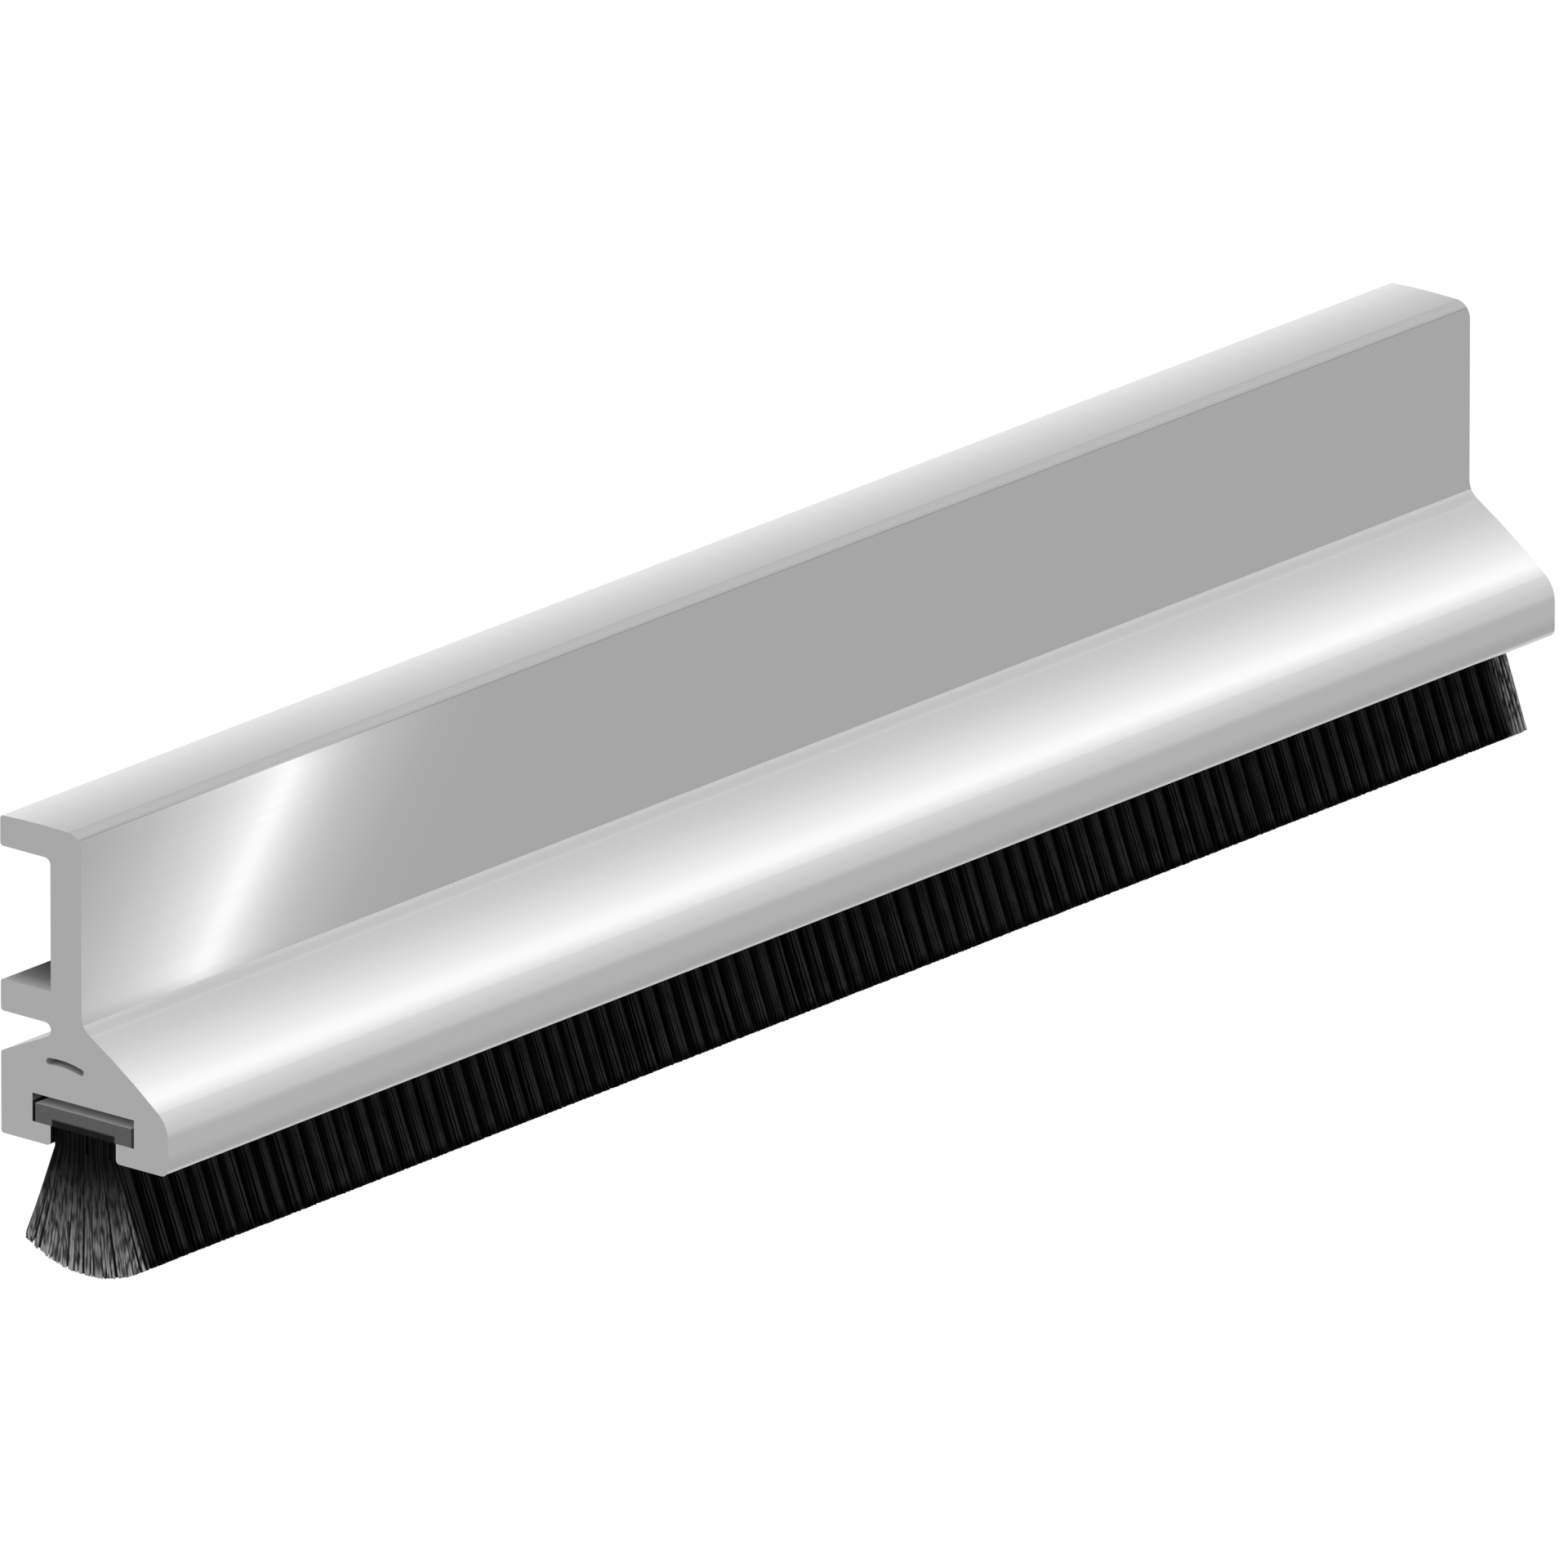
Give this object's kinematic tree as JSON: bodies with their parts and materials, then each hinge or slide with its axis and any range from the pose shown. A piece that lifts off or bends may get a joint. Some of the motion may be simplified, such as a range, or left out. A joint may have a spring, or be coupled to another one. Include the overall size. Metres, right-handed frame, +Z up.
{
  "type": "door bottom seal strip",
  "caption": "Straight metal section with a top flange, upright web, middle leg and sloped weather nose, holding a bristle brush in a slot underneath, to seal the gap below a door.",
  "frame": {"origin": "on the plane that meets the door, half way along the strip and half way up the lowest bearing face", "axes": "+X along the strip, +Y towards the door, +Z up, so the weather nose points along -Y and the brush hangs along -Z"},
  "size_m": [0.12, 0.012, 0.0256],
  "materials": {
    "aluminium": "extruded, satin mill finish",
    "backing": "dark grey extruded polypropylene",
    "bristles": "black polypropylene bristle"
  },
  "bodies": {
    "root": {"carrier_profile": "aluminium", "brush_backing": "backing", "brush_bristles": "bristles"}
  },
  "joints": []
}
